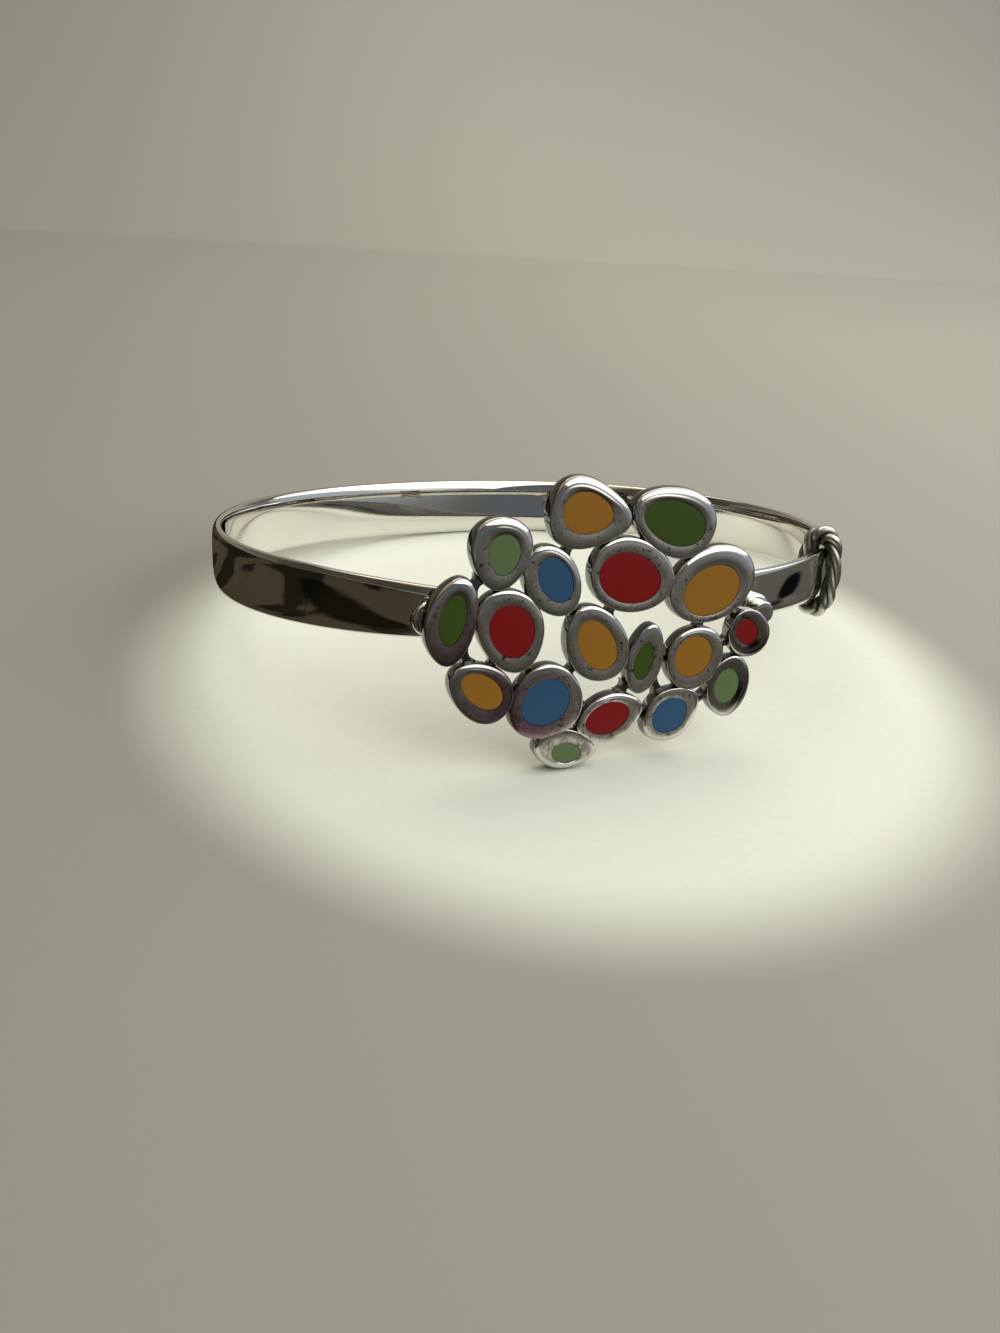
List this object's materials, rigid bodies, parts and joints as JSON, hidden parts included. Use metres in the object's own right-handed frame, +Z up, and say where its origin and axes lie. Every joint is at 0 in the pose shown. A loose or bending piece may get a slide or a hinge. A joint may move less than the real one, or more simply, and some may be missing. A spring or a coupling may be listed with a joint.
{
  "type": "enamel bangle",
  "caption": "Oval silver bangle whose tapered band ends carry an openwork front plaque of rounded, enamel-filled cups, with a twisted wire collar on one side.",
  "frame": {"origin": "middle of the bangle's box, on the table that it rests on", "axes": "+Z up from the table, -Y towards the side that the plaque faces, +X to the right as seen from the front, along the band's wide way"},
  "size_m": [0.0656, 0.0548, 0.0246],
  "materials": {
    "polished_silver": "polished",
    "satin_silver": "satin faces with fine wear, polished rims",
    "twisted_silver": "polished with darkened grooves",
    "orange_enamel": "flat, satin gloss",
    "red_enamel": "flat, satin gloss",
    "dark_green_enamel": "flat, satin gloss",
    "blue_enamel": "flat, satin gloss",
    "light_green_enamel": "flat, satin gloss"
  },
  "bodies": {
    "root": {"band": "polished_silver", "plaque": "satin_silver", "left_pin": "polished_silver", "right_pin": "polished_silver", "rope_collar": "twisted_silver", "enamel_orange_top": "orange_enamel", "enamel_green_top_right": "dark_green_enamel", "enamel_lightgreen_upper_left": "light_green_enamel", "enamel_blue_upper": "blue_enamel", "enamel_red_top": "red_enamel", "enamel_orange_right": "orange_enamel", "enamel_green_left": "dark_green_enamel", "enamel_red_left": "red_enamel", "enamel_orange_centre": "orange_enamel", "enamel_green_small": "dark_green_enamel", "enamel_orange_mid_right": "orange_enamel", "enamel_red_small": "red_enamel", "enamel_orange_lower_left": "orange_enamel", "enamel_blue_lower": "blue_enamel", "enamel_red_lower": "red_enamel", "enamel_blue_lower_right": "blue_enamel", "enamel_lightgreen_right": "light_green_enamel", "enamel_lightgreen_bottom": "light_green_enamel"}
  },
  "joints": []
}
